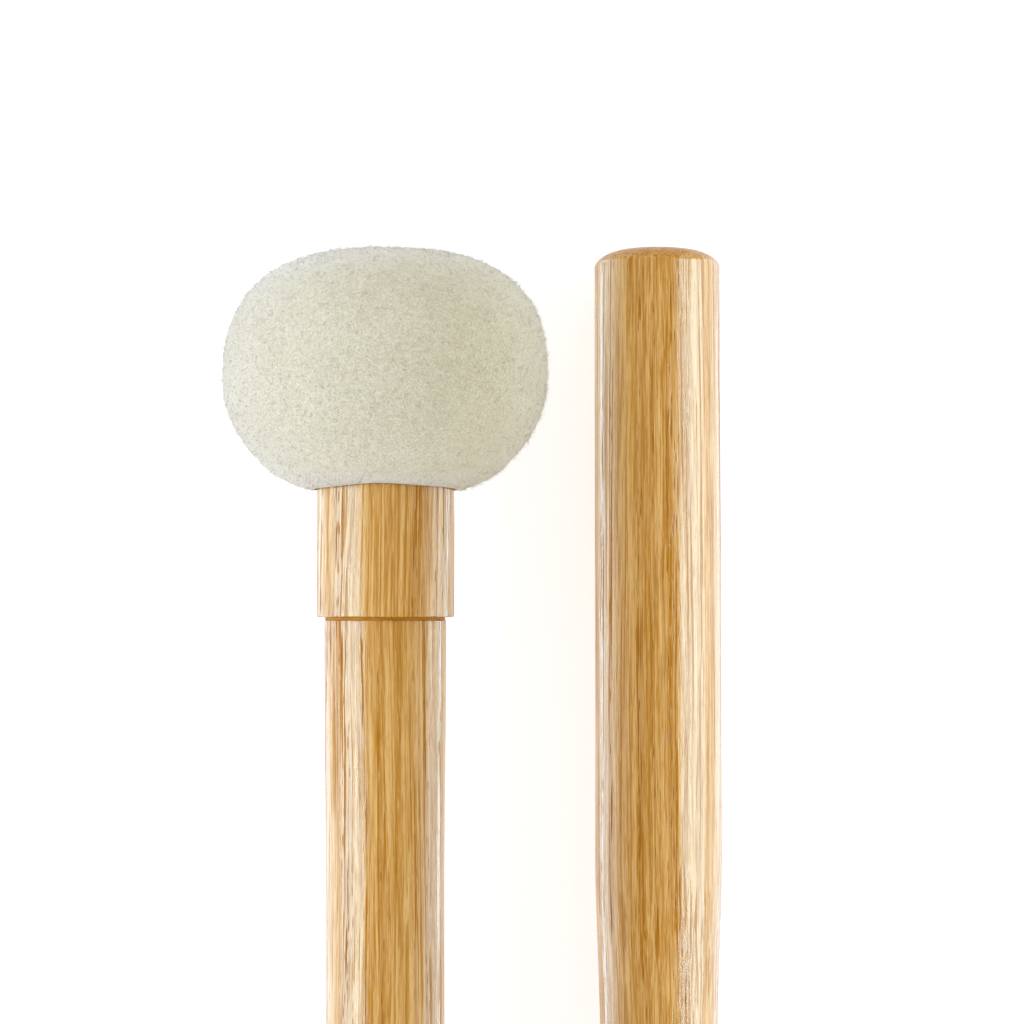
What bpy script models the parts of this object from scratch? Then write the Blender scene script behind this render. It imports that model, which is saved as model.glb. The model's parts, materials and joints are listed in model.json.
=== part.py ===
"""A matched pair of felt-headed timpani mallets, laid head to tail on a flat surface.

Each mallet is made of turned and wound pieces about its own Z axis, from the butt
at zero up to the crown of the head: an ash handle with a spigot at its top, an ash
collar slid over the spigot, a birch core glued on the spigot's end, a felt strip
wound round the core, a felt pad on top of it, one felt cover drawn over them all,
and the waxed thread that binds the cover's neck inside the collar. A parent empty
then lays the mallet down on its butt and its head.

Frame: +Y along the sticks, +Z up, origin on the surface under the middle of the pair.
"""

import math

import bmesh
import bpy
import numpy as np

MM = 0.001
GAP = 0.3 * MM  # glue line or plain clearance between two pieces that touch

# The pair
MALLET_LENGTH = 368.3 * MM
STICK_SPACING = 34.3 * MM  # between the axes of the two sticks
CROWN_SETBACK = 1.2 * MM  # each crown lies this far behind the other mallet's butt

# Handle, an ash dowel turned slimmer between its grip and its shoulder
BUTT_RADIUS = 8.0 * MM
BUTT_FLAT_RADIUS = 4.5 * MM
BUTT_CROWN_HEIGHT = 2.0 * MM
BUTT_CROWN_SQUARENESS = 1.7
GRIP_LENGTH = 76.0 * MM  # straight stretch, from the butt
GRIP_TAPER_LENGTH = 24.0 * MM
WAIST_RADIUS = 7.4 * MM
SHOULDER_FLARE_LENGTH = 34.0 * MM
SHOULDER_RADIUS = 7.6 * MM
SPIGOT_RADIUS = 4.75 * MM
SPIGOT_CHAMFER = 0.6 * MM
SPIGOT_SETBACK = 0.5 * MM  # below the top of the core

# Head, a flattened ball that is squarer above its widest place than below it
HEAD_RADIUS = 20.3 * MM
HEAD_RISE = 16.4 * MM  # from the widest place up to the crown
HEAD_DROP = 15.35 * MM  # from the widest place down to the pole that the base cuts off
CROWN_SQUARENESS = 2.6
BASE_SQUARENESS = 2.06
COVER_THICKNESS = 3.7 * MM
LINER_THICKNESS = 3.0 * MM
PAD_THICKNESS = 3.8 * MM
PAD_SETBACK = 0.5 * MM  # the pad is this much smaller than the core
CORE_EDGE_RADIUS = 2.5 * MM
CORE_FOOT_WIDTH = 2.2 * MM
LINER_TOP_DROP = 1.0 * MM  # the strip stops this far below the core's top
LINER_REACH_DEGREES = 46.0  # how far the strip is drawn in under the core

# Base lip, neck and binding of the cover
LIP_WIDTH = 1.85 * MM
LIP_FALL = 0.45 * MM
LIP_ROUND = 0.9 * MM
NECK_WALL = 1.2 * MM
THREAD_DIAMETER = 0.65 * MM
THREAD_TURNS = 4
BINDING_DROP = 1.0 * MM  # from the collar's rim down to the first turn
SKIRT_FLARE = 0.75 * MM
SKIRT_HEIGHT = 1.2 * MM

# Collar
COLLAR_WALL = 1.1 * MM  # beside the binding, where it is thinnest
COLLAR_RECESS = 0.6 * MM  # how deep its rim is set into the felt
COLLAR_SHOWING = 16.0 * MM  # from the felt down to the shoulder
COLLAR_EDGE = 0.25 * MM
COUNTERBORE_SLACK = 0.5 * MM  # under the cover's skirt

SEGMENTS = 24  # round each piece, a multiple of four so that one edge lies on the surface
SMOOTH_DEGREES = 35.0

ASH = ("lacquered_ash", (0.63, 0.40, 0.17), 0.32)
BIRCH = ("raw_birch", (0.72, 0.58, 0.38), 0.70)
COVER_FELT = ("cover_felt", (0.66, 0.64, 0.52), 0.95)
BACKING_FELT = ("backing_felt", (0.60, 0.56, 0.46), 0.95)
WAXED_THREAD = ("waxed_thread", (0.70, 0.62, 0.42), 0.60)

# Radii that follow from each other, from the spigot outwards
neck_inner = SPIGOT_RADIUS + GAP
neck_outer = neck_inner + NECK_WALL
skirt_radius = neck_outer + SKIRT_FLARE
binding_inner = neck_outer + GAP
binding_outer = binding_inner + THREAD_DIAMETER
counterbore_radius = max(binding_outer, skirt_radius) + GAP
collar_radius = counterbore_radius + COLLAR_WALL
recess_radius = collar_radius + GAP
lip_radius = recess_radius + LIP_WIDTH

# Radii that follow from each other, from the cover inwards
cavity_radius = HEAD_RADIUS - COVER_THICKNESS
liner_radius = cavity_radius - GAP
core_radius = liner_radius - LINER_THICKNESS - GAP


def turn_at_radius(radius, widest, squareness):
    """The turn, in degrees, at which a bulge has narrowed to this radius."""
    return math.degrees(math.acos((radius / widest) ** (squareness / 2)))


def turn_at_height(height, reach, squareness):
    """The turn, in degrees, at which a bulge is at this height."""
    return math.degrees(math.asin((height / reach) ** (squareness / 2)))


def bulge(widest, reach, squareness, first_turn, last_turn, steps):
    """Points on a quarter of a superellipse: turn 0 is the widest place, 90 the pole.

    The radius is widest times the cosine, and the height is reach times the sine, each
    to the power of two over the squareness. A negative reach goes down.
    """
    turns = np.radians(np.linspace(first_turn, last_turn, steps + 1))
    radii = widest * np.clip(np.cos(turns), 0, 1) ** (2 / squareness)
    heights = reach * np.clip(np.sin(turns), 0, 1) ** (2 / squareness)
    return list(zip(radii, heights))


def eased(start, end, steps):
    """Points from start to end, without start, that leave and arrive along the axis."""
    share = np.linspace(0, 1, steps + 1)[1:]
    ease = share * share * (3 - 2 * share)
    radii = start[0] + (end[0] - start[0]) * ease
    heights = start[1] + (end[1] - start[1]) * share
    return list(zip(radii, heights))


# Heights from the head's widest place
lip_turn = turn_at_radius(lip_radius, HEAD_RADIUS, BASE_SQUARENESS)
lip_height = bulge(HEAD_RADIUS, -HEAD_DROP, BASE_SQUARENESS, 0, lip_turn, 1)[-1][1]
base_height = lip_height - LIP_FALL
rim_height = base_height + COLLAR_RECESS
binding_length = THREAD_DIAMETER * THREAD_TURNS
binding_top = rim_height - BINDING_DROP
skirt_top = binding_top - binding_length - GAP
mouth_height = skirt_top - SKIRT_HEIGHT
core_top = HEAD_RISE - COVER_THICKNESS - PAD_THICKNESS - 2 * GAP
cavity_rise = HEAD_RISE - COVER_THICKNESS
cavity_drop = HEAD_DROP - COVER_THICKNESS

# Heights from the butt
head_middle = MALLET_LENGTH - HEAD_RISE
collar_length = COLLAR_SHOWING + COLLAR_RECESS
collar_bottom = head_middle + rim_height - collar_length
shoulder_height = collar_bottom - GAP
spigot_end = head_middle + core_top - SPIGOT_SETBACK


def handle_outline():
    """From the middle of the butt's flat end, up the outside, to the spigot's end."""
    crown_width = BUTT_RADIUS - BUTT_FLAT_RADIUS
    crown = bulge(crown_width, BUTT_CROWN_HEIGHT, BUTT_CROWN_SQUARENESS, 90, 0, 5)
    crown = [(BUTT_FLAT_RADIUS + r, BUTT_CROWN_HEIGHT - h) for r, h in crown]
    grip_end = (BUTT_RADIUS, GRIP_LENGTH)
    waist_start = (WAIST_RADIUS, GRIP_LENGTH + GRIP_TAPER_LENGTH)
    waist_end = (WAIST_RADIUS, shoulder_height - SHOULDER_FLARE_LENGTH)
    shoulder = (SHOULDER_RADIUS, shoulder_height)
    return [
        (0, 0),
        *crown,
        grip_end,
        *eased(grip_end, waist_start, 6),
        waist_end,
        *eased(waist_end, shoulder, 6),
        (SPIGOT_RADIUS, shoulder_height),
        (SPIGOT_RADIUS, spigot_end - SPIGOT_CHAMFER),
        (SPIGOT_RADIUS - SPIGOT_CHAMFER, spigot_end),
        (0, spigot_end),
    ]


def collar_outline():
    """Round the collar's wall, from its bottom face at zero."""
    floor = rim_height - mouth_height + GAP + COUNTERBORE_SLACK
    floor_height = collar_length - floor
    return [
        (neck_inner, 0),
        (collar_radius - COLLAR_EDGE, 0),
        (collar_radius, COLLAR_EDGE),
        (collar_radius, collar_length - COLLAR_EDGE),
        (collar_radius - COLLAR_EDGE, collar_length),
        (counterbore_radius, collar_length),
        (counterbore_radius, floor_height),
        (neck_inner, floor_height),
    ]


def core_outline():
    """Round the core's wall: flat top, rounded edge, straight side, drawn-in foot."""
    edge = bulge(CORE_EDGE_RADIUS, CORE_EDGE_RADIUS, 2, 90, 0, 4)
    straight_top = core_top - CORE_EDGE_RADIUS
    edge = [(core_radius - CORE_EDGE_RADIUS + r, straight_top + h) for r, h in edge]
    foot_radius = neck_inner + CORE_FOOT_WIDTH
    foot_turn = turn_at_radius(foot_radius, core_radius, BASE_SQUARENESS)
    core_drop = cavity_drop - GAP
    side = bulge(core_radius, -core_drop, BASE_SQUARENESS, 0, foot_turn, 6)
    return [(neck_inner, core_top), *edge, *side, (neck_inner, side[-1][1])]


def liner_outline():
    """Round the strip: its inside follows the core, its outside follows the cavity."""
    top = core_top - LINER_TOP_DROP
    inner_radius = core_radius + GAP
    inner = bulge(inner_radius, -cavity_drop, BASE_SQUARENESS, 0, LINER_REACH_DEGREES, 5)
    outer_drop = cavity_drop - GAP
    below = bulge(liner_radius, -outer_drop, BASE_SQUARENESS, LINER_REACH_DEGREES, 0, 5)
    outer_rise = cavity_rise - GAP
    top_turn = turn_at_height(top, outer_rise, CROWN_SQUARENESS)
    above = bulge(liner_radius, outer_rise, CROWN_SQUARENESS, 0, top_turn, 4)
    return [(inner_radius, top), *inner, *below, *above[1:]]


def pad_outline():
    """From the middle of the pad's underside, round its edge, to its domed top."""
    underside = core_top + GAP
    pad_radius = core_radius - PAD_SETBACK
    dome_rise = cavity_rise - GAP
    edge_turn = turn_at_radius(pad_radius, liner_radius, CROWN_SQUARENESS)
    dome = bulge(liner_radius, dome_rise, CROWN_SQUARENESS, edge_turn, 90, 6)
    return [(0, underside), (pad_radius, underside), *dome]


def cover_outline():
    """From the crown, down the outside, in round the base and neck, up the inside."""
    above = bulge(HEAD_RADIUS, HEAD_RISE, CROWN_SQUARENESS, 90, 0, 9)
    below = bulge(HEAD_RADIUS, -HEAD_DROP, BASE_SQUARENESS, 0, lip_turn, 8)
    lip = bulge(LIP_ROUND, -LIP_FALL, 2, 0, 90, 3)
    lip = [(lip_radius - LIP_ROUND + r, lip_height + h) for r, h in lip]
    seat = rim_height + GAP
    neck_turn = turn_at_radius(neck_inner, cavity_radius, BASE_SQUARENESS)
    inside_below = bulge(cavity_radius, -cavity_drop, BASE_SQUARENESS, neck_turn, 0, 6)
    inside_above = bulge(cavity_radius, cavity_rise, CROWN_SQUARENESS, 0, 90, 7)
    return [
        *above,
        *below[1:],
        *lip[1:],
        (recess_radius, base_height),
        (recess_radius, seat),
        (neck_outer, seat),
        (neck_outer, skirt_top),
        (skirt_radius, skirt_top),
        (skirt_radius, mouth_height),
        (neck_inner, mouth_height),
        *inside_below,
        *inside_above[1:],
    ]


def binding_outline():
    """Round the winding, from its lowest turn at zero: flat inside, one bead a turn."""
    thread_radius = THREAD_DIAMETER / 2
    points = [(binding_inner, 0)]
    for turn in range(THREAD_TURNS):
        middle = thread_radius + THREAD_DIAMETER * turn
        bead = bulge(thread_radius, thread_radius, 2, 60, 0, 2)
        centre = binding_outer - thread_radius
        points += [(centre + r, middle - h) for r, h in bead]
        points += [(centre + r, middle + h) for r, h in reversed(bead[:-1])]
    points.append((binding_inner, binding_length))
    return points


def finish(name, colour, roughness):
    """A plain material of this colour and roughness."""
    material = bpy.data.materials.new(name)
    material.use_nodes = True
    shader = material.node_tree.nodes["Principled BSDF"]
    shader.inputs["Base Color"].default_value = (*colour, 1)
    shader.inputs["Roughness"].default_value = roughness
    shader.inputs["Metallic"].default_value = 0
    return material


def turned(name, outline, material):
    """A mesh turned from an outline of (radius, height) points about the Z axis."""
    profile = bmesh.new()
    corners = [profile.verts.new((radius, 0, height)) for radius, height in outline]
    for first, second in zip(corners, corners[1:]):
        profile.edges.new((first, second))
    if outline[0][0] > 0:
        profile.edges.new((corners[-1], corners[0]))
    bmesh.ops.spin(
        profile,
        geom=profile.verts[:] + profile.edges[:],
        cent=(0, 0, 0),
        axis=(0, 0, 1),
        angle=math.tau,
        steps=SEGMENTS,
        use_merge=True,
    )
    bmesh.ops.remove_doubles(profile, verts=profile.verts[:], dist=0.001 * MM)
    bmesh.ops.recalc_face_normals(profile, faces=profile.faces[:])
    mesh = bpy.data.meshes.new(name)
    profile.to_mesh(mesh)
    profile.free()
    mesh.materials.append(material)
    mesh.shade_smooth()
    mesh.set_sharp_from_angle(angle=math.radians(SMOOTH_DEGREES))
    return mesh


def lowest(points, tilt):
    """The point of an outline that is lowest when the stick is raised by tilt."""
    return min(points, key=lambda p: p[1] * math.sin(tilt) - p[0] * math.cos(tilt))


def resting_place(handle, head):
    """The tilt at which butt and head both touch, and the butt's height and place.

    The tilt is the slope of the line that touches the handle's butt and the head from
    below. The place puts both ends of the mallet equally far from the pair's middle.
    """
    butt = [point for point in handle if point[1] <= GRIP_LENGTH]
    tilt = 0.0
    for _ in range(6):
        behind, ahead = lowest(butt, tilt), lowest(head, tilt)
        tilt = math.atan2(ahead[0] - behind[0], ahead[1] - behind[1])
    behind = lowest(butt, tilt)
    height = behind[0] * math.cos(tilt) - behind[1] * math.sin(tilt)
    back = min(t * math.cos(tilt) - r * math.sin(tilt) for r, t in butt)
    front = max(t * math.cos(tilt) + r * math.sin(tilt) for r, t in head)
    return tilt, height, -(back + front) / 2


def build():
    """Makes each piece's mesh once, and the two mallets from the same meshes.

    The second mallet is the first turned half round about the middle of the pair.
    """
    for item in list(bpy.data.objects):
        bpy.data.objects.remove(item, do_unlink=True)

    ash, birch = finish(*ASH), finish(*BIRCH)
    cover_felt, backing_felt = finish(*COVER_FELT), finish(*BACKING_FELT)
    thread = finish(*WAXED_THREAD)
    binding_bottom = head_middle + binding_top - binding_length
    pieces = [
        ("handle", handle_outline(), ash, 0),
        ("collar", collar_outline(), ash, collar_bottom),
        ("head_core", core_outline(), birch, head_middle),
        ("liner_wrap", liner_outline(), backing_felt, head_middle),
        ("crown_pad", pad_outline(), backing_felt, head_middle),
        ("felt_cover", cover_outline(), cover_felt, head_middle),
        ("neck_binding", binding_outline(), thread, binding_bottom),
    ]
    meshes = {name: turned(name, outline, look) for name, outline, look, _ in pieces}

    handle = handle_outline()
    head = [(radius, head_middle + height) for radius, height in cover_outline()]
    tilt, butt_height, butt_place = resting_place(handle, head)
    butt_place -= CROWN_SETBACK / 2
    for number, side in enumerate((1, -1), start=1):
        stick = bpy.data.objects.new(f"mallet_{number}_axis", None)
        stick.location = (-side * STICK_SPACING / 2, side * butt_place, butt_height)
        stick.rotation_euler = (tilt - math.pi / 2, 0, math.pi * (number - 1))
        bpy.context.collection.objects.link(stick)
        for name, _, _, height in pieces:
            piece = bpy.data.objects.new(f"mallet_{number}_{name}", meshes[name])
            piece.location = (0, 0, height)
            piece.parent = stick
            bpy.context.collection.objects.link(piece)


build()
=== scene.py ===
"""A matched pair of felt-headed timpani mallets, laid head to tail on a pale floor.

Each mallet is made as it is put together: handle, collar, birch core, felt strip, crown pad,
felt cover with its nap, and the waxed thread that binds the cover's neck.
"""

import json
import math

import bpy
import numpy as np
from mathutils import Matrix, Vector


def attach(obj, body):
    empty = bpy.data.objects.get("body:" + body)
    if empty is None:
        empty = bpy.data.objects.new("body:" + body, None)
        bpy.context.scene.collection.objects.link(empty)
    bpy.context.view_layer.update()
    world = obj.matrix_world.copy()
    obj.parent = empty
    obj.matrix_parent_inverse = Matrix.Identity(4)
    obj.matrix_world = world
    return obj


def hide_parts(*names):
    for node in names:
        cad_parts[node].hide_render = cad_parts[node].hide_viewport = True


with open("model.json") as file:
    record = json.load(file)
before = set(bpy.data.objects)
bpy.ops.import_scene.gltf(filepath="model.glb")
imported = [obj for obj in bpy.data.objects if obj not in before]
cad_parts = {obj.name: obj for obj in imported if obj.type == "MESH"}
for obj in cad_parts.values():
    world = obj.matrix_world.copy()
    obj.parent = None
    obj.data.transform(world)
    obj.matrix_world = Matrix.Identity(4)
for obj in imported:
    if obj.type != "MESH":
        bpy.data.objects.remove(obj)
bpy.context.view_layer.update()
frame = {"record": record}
MM = 0.001


# ---- Camera ---------------------------------------------------------------------------------
# A long lens looks down on one head and one butt from a little over half a metre up. It stands
# a hand's breadth inside the crown's end of the pair and leans three degrees towards it.
view = bpy.data.cameras.new("overhead_view")
view.sensor_width = 36
view.lens = 169.3
view.clip_start, view.clip_end = 0.01, 20
camera = bpy.data.objects.new("overhead_view", view)
camera.location = (-1.35 * MM, 117.4 * MM, 620 * MM)
camera.rotation_euler = (math.radians(3.17), 0, 0)
bpy.context.scene.collection.objects.link(camera)
bpy.context.scene.camera = camera


# ---- Handles --------------------------------------------------------------------------------
# An ash dowel turned to a slow hourglass, with a crowned butt, a square shoulder and a spigot
# that carries the collar and the head. It is sanded, stained faintly honey and lacquered.
GAP = 0.3 * MM
BUTT_RADIUS = 8.0 * MM
BUTT_FLAT_RADIUS = 4.5 * MM
BUTT_CROWN_HEIGHT = 2.0 * MM
GRIP_LENGTH = 76.0 * MM
GRIP_TAPER_LENGTH = 24.0 * MM
WAIST_RADIUS = 7.4 * MM
SHOULDER_FLARE_LENGTH = 34.0 * MM
SHOULDER_RADIUS = 7.6 * MM
SPIGOT_RADIUS = 4.75 * MM
SHOULDER_PLACE = 321.974 * MM
SPIGOT_END = 359.7 * MM


def stick_axes(number):
    """Where a mallet's butt is, and the directions right of it, up from it and along it."""
    mounts = {m["name"]: m for m in frame["record"]["mounts"]}
    butt = mounts[f"mallet_{number}_butt_end"]
    along = -np.array(butt["axis"], float)
    right = np.cross(along, (0, 0, 1))
    right /= np.linalg.norm(right)
    return np.array(butt["pos_m"], float), right, np.cross(right, along), along


def bulge(widest, reach, squareness, first_turn, last_turn, steps):
    """A quarter of a superellipse as rows of (radius, height), turn 0 widest and 90 the pole.

    The radius is widest times the cosine of the turn, and the height is reach times its sine,
    each to the power of two over the squareness.
    """
    turns = np.radians(np.linspace(first_turn, last_turn, steps + 1))
    radii = widest * np.clip(np.cos(turns), 0, 1) ** (2 / squareness)
    heights = reach * np.clip(np.sin(turns), 0, 1) ** (2 / squareness)
    return np.stack([radii, heights], axis=1)


def sloped(start, end, steps):
    """Rows of (radius, height) that leave start and reach end parallel to the stick.

    The radius follows three times the square less twice the cube of the share of the way.
    """
    share = np.linspace(0, 1, steps + 1)
    ease = share * share * (3 - 2 * share)
    radii = start[0] + (end[0] - start[0]) * ease
    return np.stack([radii, start[1] + (end[1] - start[1]) * share], axis=1)


def broken_edges(outline, size):
    """Every corner of an outline taken off by a curve that starts this far from it.

    The curve is the quadratic one through the corner's two cut points, bent by the corner.
    """
    before, corner, after = outline[:-2], outline[1:-1], outline[2:]
    back, on = before - corner, after - corner
    back_length = np.linalg.norm(back, axis=1, keepdims=True)
    on_length = np.linalg.norm(on, axis=1, keepdims=True)
    first = corner + back * np.minimum(size / back_length, 0.45)
    last = corner + on * np.minimum(size / on_length, 0.45)
    share = np.linspace(0, 1, 5)[None, :, None]
    curve = (1 - share) ** 2 * first[:, None] + 2 * share * (1 - share) * corner[:, None]
    curve = (curve + share**2 * last[:, None]).reshape(-1, 2)
    return np.concatenate([outline[:1], curve, outline[-1:]])


def filled(outline, step):
    """The same outline, with points added so that none are further apart than about step."""
    gone = np.linalg.norm(np.diff(outline, axis=0), axis=1).cumsum()
    gone = np.concatenate([[0], gone])
    extra = np.arange(step, gone[-1], step)
    near = np.searchsorted(gone, extra)
    clear = np.minimum(extra - gone[near - 1], gone[near] - extra) > 0.3 * step
    places = np.sort(np.concatenate([gone, extra[clear]]))
    return np.stack([np.interp(places, gone, outline[:, i]) for i in (0, 1)], axis=1)


def ripple(places, size, seed):
    """Soft random unevenness, mostly between -1 and 1, at places given in millimetres.

    It is the sum of forty sine waves with random headings, each about size millimetres long.
    """
    dice = np.random.default_rng(seed)
    heading = dice.normal(size=(40, 3))
    heading /= np.linalg.norm(heading, axis=1, keepdims=True)
    waves = heading * (math.tau / size) * dice.uniform(0.6, 1.5, (40, 1))
    shift = dice.uniform(0, math.tau, 40)
    return np.sin(places @ waves.T + shift).sum(axis=-1) / 6.5


def on_grid(outline, sides):
    """The angle, radius and height of every grid point: rows down the outline, columns round it."""
    angle = np.arange(sides) * math.tau / sides
    shape = (len(outline), sides)
    radius = np.broadcast_to(outline[:, :1], shape).copy()
    height = np.broadcast_to(outline[:, 1:], shape).copy()
    return np.broadcast_to(angle, shape), radius, height


def place_in_stick(angle, radius, height):
    """Right, up and along the stick, in millimetres, for points given round its axis."""
    places = np.stack([radius * np.cos(angle), radius * np.sin(angle), height], axis=-1)
    return places / MM


def new_piece(name, points, corners, sizes, attributes):
    """A smooth mesh from points and one flat list of face corners, turned to face outwards.

    The volume is a sixth of the sum, over the faces' fans of triangles, of the triple product
    of their corners. Where it is negative, every face is listed the other way round.
    """
    starts = np.concatenate([[0], np.cumsum(sizes)[:-1]])
    first, second, third = (points[corners[starts + k]] for k in range(3))
    fourth = points[corners[starts + sizes - 1]]
    volume = np.einsum("ij,ij->i", first, np.cross(second, third)).sum()
    volume += np.einsum("ij,ij->i", first, np.cross(third, fourth)).sum()
    if volume < 0:
        corners = corners[np.repeat(2 * starts + sizes - 1, sizes) - np.arange(len(corners))]
    mesh = bpy.data.meshes.new(name)
    mesh.vertices.add(len(points))
    mesh.vertices.foreach_set("co", points.astype(np.float32).ravel())
    mesh.loops.add(len(corners))
    mesh.loops.foreach_set("vertex_index", corners.astype(np.int32))
    mesh.polygons.add(len(sizes))
    mesh.polygons.foreach_set("loop_start", starts.astype(np.int32))
    mesh.update(calc_edges=True)
    mesh.shade_smooth()
    for title, values in attributes.items():
        kind, field = ("FLOAT_VECTOR", "vector") if values.ndim == 2 else ("FLOAT", "value")
        made = mesh.attributes.new(title, kind, "POINT")
        made.data.foreach_set(field, values.astype(np.float32).ravel())
    piece = bpy.data.objects.new(name, mesh)
    bpy.context.scene.collection.objects.link(piece)
    return piece


def skin_faces(index):
    """The faces between neighbouring rows of a grid of point numbers, each row closed round.

    A row that is all one point is a pole, and the faces that meet it are triangles. What comes
    back is one flat list of corners, the size of each face, and the points that are used.
    """
    below, above = index[:-1], index[1:]
    quads = np.stack([below, np.roll(below, -1, 1), np.roll(above, -1, 1), above], axis=-1)
    quads = quads.reshape(-1, 4)
    flat_start, flat_end = quads[:, 0] == quads[:, 1], quads[:, 2] == quads[:, 3]
    triangles = np.concatenate([quads[flat_start][:, [0, 2, 3]], quads[flat_end][:, [0, 1, 2]]])
    quads = quads[~flat_start & ~flat_end]
    corners = np.concatenate([quads.ravel(), triangles.ravel()])
    sizes = np.concatenate([np.full(len(quads), 4), np.full(len(triangles), 3)])
    used, corners = np.unique(corners, return_inverse=True)
    return corners, sizes, used


def turned(name, number, angle, radius, height, attributes, joined):
    """A skin of revolution over a grid of angle, radius and height along mallet number.

    A point is the butt's place, plus height along the stick, plus radius times the cosine of
    its angle to the right and the sine of its angle upwards. A first or last row on the axis
    becomes one pole. Joined says that the outline's last row meets its first.
    """
    butt, right, up, along = stick_axes(number)
    rows, sides = radius.shape
    points = butt + height[..., None] * along
    points = points + (radius * np.cos(angle))[..., None] * right
    points = (points + (radius * np.sin(angle))[..., None] * up).reshape(-1, 3)
    index = np.arange(rows * sides).reshape(rows, sides)
    poles = [row for row in (0, rows - 1) if not joined and radius[row].max() < 1e-7]
    for row in poles:
        index[row] = index[row, 0]
    if joined:
        index = np.concatenate([index, index[:1]])
    corners, sizes, used = skin_faces(index)
    attributes = {k: v.reshape(rows * sides, *v.shape[2:])[used] for k, v in attributes.items()}
    return new_piece(name, points[used], corners, sizes, attributes)


def end_on(radius, height):
    """How squarely a turned surface cuts across the grain: 0 on the side, 1 on an end face."""
    out, on = np.gradient(radius, axis=0), np.gradient(height, axis=0)
    return np.abs(out) / np.maximum(np.hypot(out, on), 1e-9)


def in_plank(angle, radius, height, turn, offset):
    """A stick's points where they lay in the plank, in millimetres from the tree's middle."""
    places = place_in_stick(angle + math.radians(turn), radius, height)
    return places + np.array(offset, float)


def new_material(name):
    """A material, its node tree and its principled shader."""
    material = bpy.data.materials.new(name)
    material.use_nodes = True
    tree = material.node_tree
    return material, tree, tree.nodes["Principled BSDF"]


def node(tree, kind, sockets=None, **settings):
    """A shader node with its settings. Each socket gets a value, or a link from an output."""
    made = tree.nodes.new("ShaderNode" + kind)
    for name, value in settings.items():
        setattr(made, name, value)
    for name, value in (sockets or {}).items():
        if isinstance(value, bpy.types.NodeSocket):
            tree.links.new(value, made.inputs[name])
        else:
            made.inputs[name].default_value = value
    return made


def sums(tree, operation, *values, clamped=False):
    """One step of arithmetic in a material."""
    sockets = dict(enumerate(values))
    made = node(tree, "Math", sockets, operation=operation, use_clamp=clamped)
    return made.outputs[0]


def between(tree, value, low, high, start=0.0, end=1.0):
    """start where value is under low, end where it is over high, and a soft rise between."""
    sockets = {"Value": value, "From Min": low, "From Max": high, "To Min": start, "To Max": end}
    return node(tree, "MapRange", sockets, interpolation_type="SMOOTHSTEP").outputs[0]


def stretched(tree, place, across, along):
    """Places divided by a grain's size in millimetres, across the stick and along it."""
    scale = (1 / across, 1 / across, 1 / along)
    return node(tree, "Mapping", {"Vector": place, "Scale": scale}).outputs[0]


def cloudy(tree, place, detail=2.0, rough=0.5, output=0):
    """Soft random values about 0.5, over places measured in the pattern's own size."""
    sockets = {"Vector": place, "Scale": 1.0, "Detail": detail, "Roughness": rough}
    return node(tree, "TexNoise", sockets).outputs[output]


def tinted(tree, share, colour, other):
    """Colour changed to the other one by share."""
    sockets = {0: share, 6: colour, 7: other}
    made = node(tree, "Mix", sockets, data_type="RGBA", clamp_factor=True)
    return made.outputs[2]


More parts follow.
